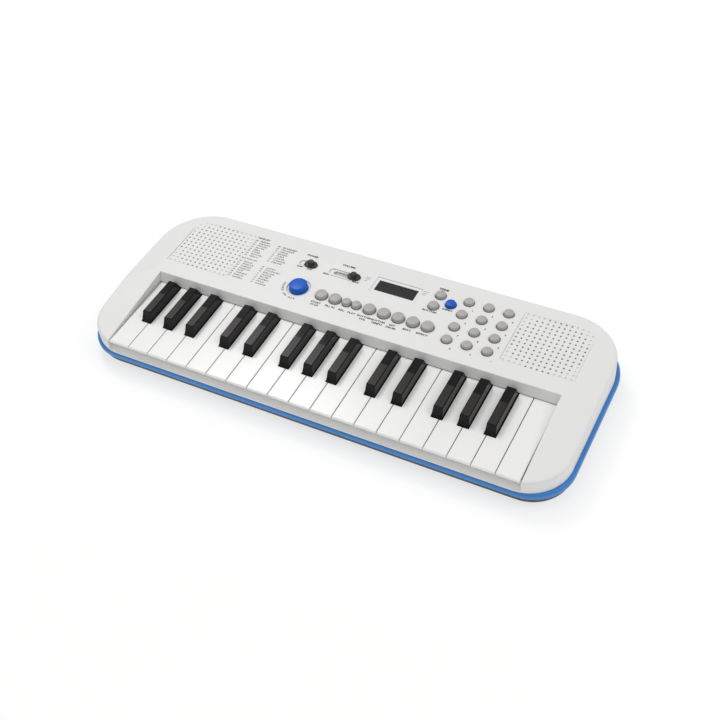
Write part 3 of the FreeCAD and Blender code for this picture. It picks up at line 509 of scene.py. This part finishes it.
def make_buttons(grey, blue):
    """All push buttons. The twelve number buttons are one piece, as they are one body."""
    for node in ROW:
        make_button(node, grey, 0.8, 0.3)
    for node in ("tone_button", "rhythm_button"):
        make_button(node, grey, 0.9, 0.35)
    make_button("demo_button", blue, 0.9, 0.35)
    make_button("chord_button", blue, 1.5, 0.35)
    shape = bmesh.new()
    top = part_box("number_buttons")[1].z / MM
    for centre in number_centres():
        turn(shape, centre, cap_profile(NUMBER_RADIUS, top, 0.8, 0.25))
    piece = new_piece("number_button_caps", shape, grey, "number_buttons",
                      smooth=30)
    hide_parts("number_buttons")


# ---------------------------------------------------------------- knobs

# Rings from bottom to top: (change of the plate's outline, height) and (radius, height, flute depth).
PLATE_HALF_LONG, PLATE_HALF_DEEP = 6, 4.2
PLATE_RINGS = ((-0.25, 37.3), (0, 37.45), (0, 38.1), (-0.12, 38.45), (-0.45, 38.75), (-0.9, 38.9))
NUB_FLUTES = 18
NUB_RINGS = ((3.35, 38.6, 0), (3.15, 38.95, 0), (3.0, 39.3, 0.12), (2.95, 40.9, 0.12),
             (2.8, 41.4, 0.05), (2.45, 41.72, 0), (2.0, 41.8, 0), (1.3, 41.62, 0), (0.6, 41.52, 0))
KNOB_STEM = [(0, 33.6), (1.7, 33.6), (2, 33.9), (2, 37.6), (0, 37.6)]
# Each knob, its travel and the height of its shutter, in mm. The volume shutter is the higher one.
KNOBS = (("power_knob", 5, 33.9), ("volume_knob", 18, 34.25))
SHUTTER_SPARE = 2.6                          # how far a shutter reaches past the knob's travel
SHUTTER_HALF_DEEP, SHUTTER_THICK = 3.0, 0.2
RIB_INSET, RIB_HALF_LONG, RIB_HALF_DEEP, RIB_DROP = 1.6, 0.3, 2, 0.25


def oval(half_long, half_deep, steps=48):
    """Corners of an obround outline about the origin, in mm."""
    straight = half_long - half_deep
    points = []
    for step in range(steps):
        angle = 2 * math.pi * (step + 0.5) / steps
        x = half_deep * math.cos(angle)
        points.append((x + math.copysign(straight, x), half_deep * math.sin(angle)))
    return points


def make_knob(node, finish):
    """Slide knob: oval plate with a rounded rim, a dished round nub with grip flutes, and its stem."""
    x_place, y_place, _ = middle(node)
    shape = bmesh.new()
    rings = []
    for grow, height in PLATE_RINGS:
        outline = oval(PLATE_HALF_LONG + grow, PLATE_HALF_DEEP + grow)
        rings.append(level_ring(shape, [(x_place + x, y_place + y) for x, y in outline], height))
    close_rings(shape, rings)
    steps = NUB_FLUTES * 4
    rings = []
    for radius, height, flute in NUB_RINGS:
        corners = []
        for step in range(steps):
            angle = 2 * math.pi * step / steps
            reach = radius - flute * (0.5 + 0.5 * math.cos(NUB_FLUTES * angle))
            corners.append((x_place + reach * math.cos(angle), y_place + reach * math.sin(angle)))
        rings.append(level_ring(shape, corners, height))
    close_rings(shape, rings)
    turn(shape, (x_place, y_place), KNOB_STEM, steps=32)
    piece = new_piece(node + "_cap", shape, finish, node, smooth=40)
    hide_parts(node)


def make_shutter(node, travel, level, finish):
    """Dust shutter that slides with a knob and closes its slot from below, with a rib at each end."""
    x_place, y_place, _ = middle(node)
    reach = travel + SHUTTER_SPARE
    corners = [(x_place + x, y_place + y) for x, y in oval(reach, SHUTTER_HALF_DEEP)]
    shape = bmesh.new()
    slab(shape, corners, level, level + SHUTTER_THICK)
    front, rear = y_place - RIB_HALF_DEEP, y_place + RIB_HALF_DEEP
    for side in (-1, 1):
        end = x_place + side * (reach - RIB_INSET)
        left, right = end - RIB_HALF_LONG, end + RIB_HALF_LONG
        slab(shape, [(left, front), (right, front), (right, rear), (left, rear)],
             level - RIB_DROP, level)
    new_piece(node + "_shutter", shape, finish, node)


# ---------------------------------------------------------------- display

DIGIT_HALF_WIDTH, DIGIT_HALF_HEIGHT = 2.2, 3.3
DIGIT_PITCH, DIGIT_SLANT = 8.2, 0.12
SEGMENT_THICK = 0.75
POINT_X, POINT_RADIUS = 3.5, 0.45            # decimal point, from the middle of its digit
HOUSING_DROP = 0.35                          # these three are below the top of the module's box
SEGMENT_FOOT, SEGMENT_TOP = 0.4, 0.12


def make_display(module, segment):
    """Three-digit module: a housing, and unlit seven-segment digits with their points."""
    (x0, y0, z0), (x1, y1, z1) = ([c / MM for c in corner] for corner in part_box("led_display"))
    shape = bmesh.new()
    slab(shape, [(x0, y0), (x1, y0), (x1, y1), (x0, y1)], z0, z1 - HOUSING_DROP)
    housing = new_piece("display_module", shape, module, "case")
    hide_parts("led_display")
    shape = bmesh.new()
    low, high = z1 - SEGMENT_FOOT, z1 - SEGMENT_TOP
    half_w, half_h, half_t = DIGIT_HALF_WIDTH, DIGIT_HALF_HEIGHT, SEGMENT_THICK / 2
    mid_y = (y0 + y1) / 2
    for digit in range(3):
        mid_x = (x0 + x1) / 2 + (digit - 1) * DIGIT_PITCH

        def at(u, v):
            return (mid_x + u + DIGIT_SLANT * v, mid_y + v)

        for v in (-half_h, 0, half_h):
            slab(shape, [at(-half_w + 0.5, v), at(-half_w + 0.9, v - half_t),
                         at(half_w - 0.9, v - half_t), at(half_w - 0.5, v),
                         at(half_w - 0.9, v + half_t), at(-half_w + 0.9, v + half_t)], low, high)
        for u in (-half_w, half_w):
            for v0, v1 in ((-half_h, 0), (0, half_h)):
                slab(shape, [at(u, v0 + 0.3), at(u + half_t, v0 + 0.7), at(u + half_t, v1 - 0.7),
                             at(u, v1 - 0.3), at(u - half_t, v1 - 0.7), at(u - half_t, v0 + 0.7)],
                     low, high)
        point = [(mid_x + POINT_X + POINT_RADIUS * math.cos(step * math.pi / 6),
                  mid_y - half_h + POINT_RADIUS * math.sin(step * math.pi / 6))
                 for step in range(12)]
        slab(shape, point, low, high)
    new_piece("display_segments", shape, segment, "case")


# ---------------------------------------------------------------- speakers

SPEAKER_X, SPEAKER_Y = 163.5, 44.1
# Profiles as (radius, height) in mm.
BASKET = [(15.4, 20.6), (15.6, 21.4), (25.6, 31.0), (28.7, 31.6), (28.9, 32.0), (28.9, 33.3),
          (28.6, 33.6), (26.4, 33.6), (26.0, 33.0), (25.2, 31.8), (15.0, 22.2), (9.2, 22.0),
          (9.2, 20.6), (15.4, 20.6)]
CONE = [(0, 23.9), (8, 24.2), (22, 30.8), (25.8, 32.0), (26.2, 32.8), (25.6, 33.4), (24.4, 33.55),
        (23.2, 33.0), (22.4, 31.8), (9.5, 25.6), (8.2, 27.0), (5.5, 28.4), (0, 29.0)]
MAGNET = [(0, 14.1), (13.2, 14.1), (13.8, 14.6), (13.8, 18.6), (14.6, 19.0), (14.6, 20.5), (0, 20.5)]


def make_speakers(basket_finish, cone_finish, magnet_finish):
    """Two small drivers under the grilles: basket, cone with its surround and dust cap, magnet."""
    for name, profile, finish in (("speaker_baskets", BASKET, basket_finish),
                                  ("speaker_cones", CONE, cone_finish),
                                  ("speaker_magnets", MAGNET, magnet_finish)):
        shape = bmesh.new()
        for side in (-1, 1):
            turn(shape, (side * SPEAKER_X, SPEAKER_Y), profile, steps=64)
        new_piece(name, shape, finish, "case")
    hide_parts("speakers")


# ---------------------------------------------------------------- printing

BAR_LOW, BAR_HIGH = 36.99, 37.03             # a printed line, in mm
INK_LIFT, INK_HALF_THICK = 0.00001, 0.00002  # printed letters, in metres
LABEL_STYLE = {"size": 2.7, "wide": 1.2, "bold": 0.12}
DIGIT_STYLE = {"size": 2.6, "bold": 0.12}
TITLE_STYLE = {"size": 2.2, "wide": 1.2, "centred": False, "bold": 0.08}
INDEX_STYLE = {"size": 2.1, "wide": 1.2, "centred": False, "bold": 0.07}
WORD_STYLE = {"size": 2.2, "wide": 1.5, "centred": False, "bold": 0.08}
DIGIT_SHIFT = (6.6, -8.4)                    # from a number button's centre to its label
CHORD_RADIUS, CHORD_START, CHORD_STEP = 14.4, 176, 9.6
LIST_LEFT, LIST_COLUMN, LIST_ROW = -131.0, 23.6, 2.97
LIST_TOPS = (72.0, 42.6)
LIST_FIRST_ROW, LIST_WORD_SHIFT = 4.1, 4.8
MARKS = ((-10.6, 61.6), (44.2, 64.2))        # two small groups of printed lines beside the window
MARK_HALF, MARK_STEP = 2.6, 2.2


def lettering(shape, text, x, y, size, wide=1.0, turned=0.0, centred=True, bold=0.1):
    """Adds raised ink letters on the panel, with their middle or left end at (x, y) mm."""
    data = bpy.data.curves.new("lettering", "FONT")
    data.body = text
    data.size = size * MM
    data.extrude = INK_HALF_THICK
    data.offset = bold * MM
    data.resolution_u = 2
    data.align_x = "CENTER" if centred else "LEFT"
    data.align_y = "CENTER"
    words = bpy.data.objects.new("lettering", data)
    scene.collection.objects.link(words)
    bpy.context.view_layer.update()
    depsgraph = bpy.context.evaluated_depsgraph_get()
    flat = bpy.data.meshes.new_from_object(words.evaluated_get(depsgraph))
    place = Matrix.Translation((x * MM, y * MM, PANEL + INK_LIFT))
    flat.transform(place @ Matrix.Rotation(turned, 4, "Z") @ Matrix.Diagonal((wide, 1, 1, 1)))
    shape.from_mesh(flat)
    bpy.data.meshes.remove(flat)
    bpy.data.objects.remove(words)
    bpy.data.curves.remove(data)


def bar(shape, x0, y0, x1, y1, thick):
    """Adds a printed line between two points on the panel, in mm."""
    along = Vector((x1 - x0, y1 - y0)).normalized()
    side = Vector((-along.y, along.x)) * thick / 2
    slab(shape, [(x0 - side.x, y0 - side.y), (x1 - side.x, y1 - side.y),
                 (x1 + side.x, y1 + side.y), (x0 + side.x, y0 + side.y)], BAR_LOW, BAR_HIGH)


# Each label and its centre on the panel, in mm.
LABELS = [("POWER", -70.6, 68.0), ("OFF", -75.3, 51.6), ("ON", -65.6, 51.6), ("VOLUME", -33.6, 68.0),
          ("MIN", -48.6, 51.8), ("MAX", -19.0, 51.8), ("START", -39.3, 16.0), ("STOP", -39.3, 12.9),
          ("FILL IN", -25.6, 16.0), ("REC", -14.2, 16.0), ("PLAY", -4.6, 16.0), ("RHYTHM", 7.6, 16.0),
          ("VOL", 7.6, 12.9), ("RHYTHM", 21.2, 16.0), ("TEMPO", 21.2, 12.9), ("KEY", 34.4, 16.0),
          ("DRUM", 34.4, 12.9), ("BEAT", 48.0, 16.0), ("EFFECT", 62.0, 16.0), ("TONE", 57.2, 72.6),
          ("RHYTHM", 56.2, 43.6), ("DEMO", 69.8, 50.6)]
TONES = ["PIANO", "ORGAN", "VIOLIN", "FLUTE", "BELL", "HARP", "GUITAR", "CELLO",
         "CLARINET", "TRUMPET", "OBOE", "BANJO", "TUBA", "CHOIR", "STRINGS", "DRUMS"]
RHYTHMS = ["ROCK", "WALTZ", "SWING", "MARCH", "POP", "TANGO", "DISCO", "SAMBA",
           "LATIN", "COUNTRY", "BALLAD", "POLKA", "BLUES", "RUMBA", "FOLK", "DANCE"]


def make_printing(dark, faint):
    """Generic words and numbers: what each control does, and numbered lists of tones and rhythms."""
    shape = bmesh.new()
    for text, x, y in LABELS:
        lettering(shape, text, x, y, **LABEL_STYLE)
    bar(shape, -44.2, 51.8, -24.0, 51.8, 0.35)
    for label, (x, y) in zip("0+-789456123", number_centres()):
        lettering(shape, label, x + DIGIT_SHIFT[0], y + DIGIT_SHIFT[1], **DIGIT_STYLE)
    chord_x, chord_y, _ = middle("chord_button")
    for index, letter in enumerate("CHORD ON OFF"):
        angle = math.radians(CHORD_START + index * CHORD_STEP)
        lettering(shape, letter, chord_x + CHORD_RADIUS * math.cos(angle),
                  chord_y + CHORD_RADIUS * math.sin(angle), turned=angle + math.pi / 2, **DIGIT_STYLE)
    new_piece("control_labels", shape, dark, "case", smooth=20)

    shape = bmesh.new()
    lists = ((TONES, "TONE LIST"), (RHYTHMS, "RHYTHM LIST"))
    for (words, title), top in zip(lists, LIST_TOPS):
        lettering(shape, title, LIST_LEFT, top, **TITLE_STYLE)
        for number, word in enumerate(words):
            column, line = divmod(number, len(words) // 2)
            x = LIST_LEFT + column * LIST_COLUMN
            y = top - LIST_FIRST_ROW - LIST_ROW * line
            lettering(shape, f"{number:02d}", x, y, **INDEX_STYLE)
            lettering(shape, word, x + LIST_WORD_SHIFT, y, **WORD_STYLE)
    for x, y in MARKS:
        for line in range(3):
            level = y - MARK_STEP * line
            bar(shape, x - MARK_HALF, level, x + MARK_HALF - line, level, 0.5)
    new_piece("printed_lists", shape, faint, "case", smooth=20)


# ---------------------------------------------------------------- feet

FOOT_X, FOOT_Y = 180, 62
# Profile of a foot as (radius, height) in mm.
FOOT = [(0, 0.25), (3.2, 0.25), (3.6, 0.05), (4.4, 0.0), (5.9, 0.0), (6.6, 0.25), (6.95, 0.8),
        (7.0, 2.0), (0, 2.0)]


def make_feet(rubber):
    """Four round rubber feet with a rolled edge and a shallow hollow underneath."""
    shape = bmesh.new()
    for x in (-FOOT_X, FOOT_X):
        for y in (-FOOT_Y, FOOT_Y):
            turn(shape, (x, y), FOOT)
    feet = new_piece("rubber_feet_rolled", shape, rubber, "case")
    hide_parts("rubber_feet")


# ---------------------------------------------------------------- light and floor

FLOOR_HALF, FLOOR_THICK = 6000, 20           # in mm
SKY_STRENGTH = (0.34, 0.82)                  # level with the floor and straight up
# Name, place, size in metres and power in watts.
LIGHTS = [("key_light", (-0.9, 0.8, 1.7), (0.5, 0.5), 10),
          ("fill_light", (1.3, 0.2, 1.3), (0.9, 0.9), 4.5)]


def make_light(name, place, size, power):
    """Soft rectangular light aimed at the object."""
    data = bpy.data.lights.new(name, "AREA")
    data.shape = "RECTANGLE"
    data.size, data.size_y = size
    data.energy = power
    light = bpy.data.objects.new(name, data)
    turned = (-Vector(place)).to_track_quat("-Z", "Y").to_matrix().to_4x4()
    light.matrix_world = Matrix.Translation(place) @ turned
    scene.collection.objects.link(light)


def make_studio():
    """Floor, soft surrounding light that is stronger from above, and two lamps."""
    floor_shape = bmesh.new()
    far = FLOOR_HALF
    slab(floor_shape, [(-far, -far), (far, -far), (far, far), (-far, far)], -FLOOR_THICK, 0)
    data = bpy.data.meshes.new("studio_floor")
    floor_shape.to_mesh(data)
    floor_shape.free()
    floor = bpy.data.objects.new("studio_floor", data)
    scene.collection.objects.link(floor)
    wear(floor, floor_finish())
    world = bpy.data.worlds.new("studio_world")
    world.use_nodes = True
    tree = world.node_tree
    direction = tree.nodes.new("ShaderNodeTexCoord")
    parts = tree.nodes.new("ShaderNodeSeparateXYZ")
    tree.links.new(direction.outputs["Generated"], parts.inputs[0])
    ramp = tree.nodes.new("ShaderNodeMapRange")
    tree.links.new(parts.outputs["Z"], ramp.inputs["Value"])
    ramp.inputs["To Min"].default_value, ramp.inputs["To Max"].default_value = SKY_STRENGTH
    tree.links.new(ramp.outputs[0], tree.nodes["Background"].inputs["Strength"])
    tree.nodes["Background"].inputs[0].default_value = (1, 0.995, 0.985, 1)
    scene.world = world
    scene.view_settings.view_transform = "Standard"
    for name, place, size, power in LIGHTS:
        make_light(name, place, size, power)


# ---------------------------------------------------------------- build

def finish_frame():
    """Materials for the CAD nodes that stay."""
    # The shell's gap setting paints shade into its gaps and recesses.
    shell = plastic("white_shell", (0.82, 0.82, 0.82), 0.42, shade=0.985, grain=0.0006,
                    depth=0.000012, ease=0.0009, scratch=0.08, gap_shade=0.3,
                    gap_shade_colour=(0.35, 0.33, 0.30))
    tray = tray_finish()
    white_key = white_key_finish()
    black_key = black_key_finish()
    finishes = {"top_case": shell, "bottom_case": tray, "battery_door": tray,
                "display_window": smoked_window_finish(), "circuit_boards": board_finish(),
                "rubber_contacts": rubber_finish("contact_rubber", (0.30, 0.30, 0.31), 0.6),
                "batteries": cell_finish(),
                "battery_contacts": metal_finish("contact_metal", (0.75, 0.74, 0.72), 0.2),
                "screws": metal_finish("screw_steel", (0.52, 0.52, 0.53), 0.3)}
    for name, node in nodes.items():
        if name.startswith("white_key"):
            wear(node, white_key)
        elif name.startswith("black_key"):
            wear(node, black_key)
        elif name in finishes:
            wear(node, finishes[name])


make_camera()
finish_frame()
# The gap setting of the button plastics paints shade round each cap.
grey_plastic = plastic("grey_button", (0.44, 0.43, 0.425), 0.45, shade=0.95, grain=0.0005,
                       depth=0.000014, scratch=0.05, rub=0.1, gap_shade=0.5,
                       gap_shade_colour=(0.1, 0.095, 0.09))
blue_plastic = plastic("blue_button", (0.003, 0.11, 0.58), 0.34, shade=0.92, grain=0.0006,
                       depth=0.000008, scratch=0.1, gloss=0.25, gap_shade=0.3,
                       gap_shade_colour=(0.01, 0.02, 0.06))
make_buttons(grey_plastic, blue_plastic)
knob_plastic = plastic("black_knob", (0.016, 0.015, 0.016), 0.42, shade=0.85, grain=0.0004,
                       depth=0.00002, scratch=0.1, rub=0.25)
for knob, _, _ in KNOBS:
    make_knob(knob, knob_plastic)
shutter_plastic = plastic("dust_shutter", (0.55, 0.55, 0.545), 0.5, shade=0.94, grain=0.0005,
                          depth=0.000015, scratch=0.3)
for knob, knob_travel, shutter_height in KNOBS:
    make_shutter(knob, knob_travel, shutter_height, shutter_plastic)
make_display(plastic("led_module", (0.02, 0.019, 0.021), 0.5, shade=0.9),
             ink_finish("led_segment", (0.16, 0.15, 0.17)))
make_speakers(plastic("speaker_basket", (0.2, 0.2, 0.2), 0.5),
              rubber_finish("speaker_paper", (0.34, 0.34, 0.34), 0.8),
              metal_finish("speaker_magnet", (0.3, 0.3, 0.31), 0.35))
make_printing(ink_finish("label_ink", (0.045, 0.045, 0.05)),
              ink_finish("list_ink", (0.13, 0.13, 0.14)))
make_feet(rubber_finish("foot_rubber", (0.035, 0.035, 0.036), 0.7))
make_studio()
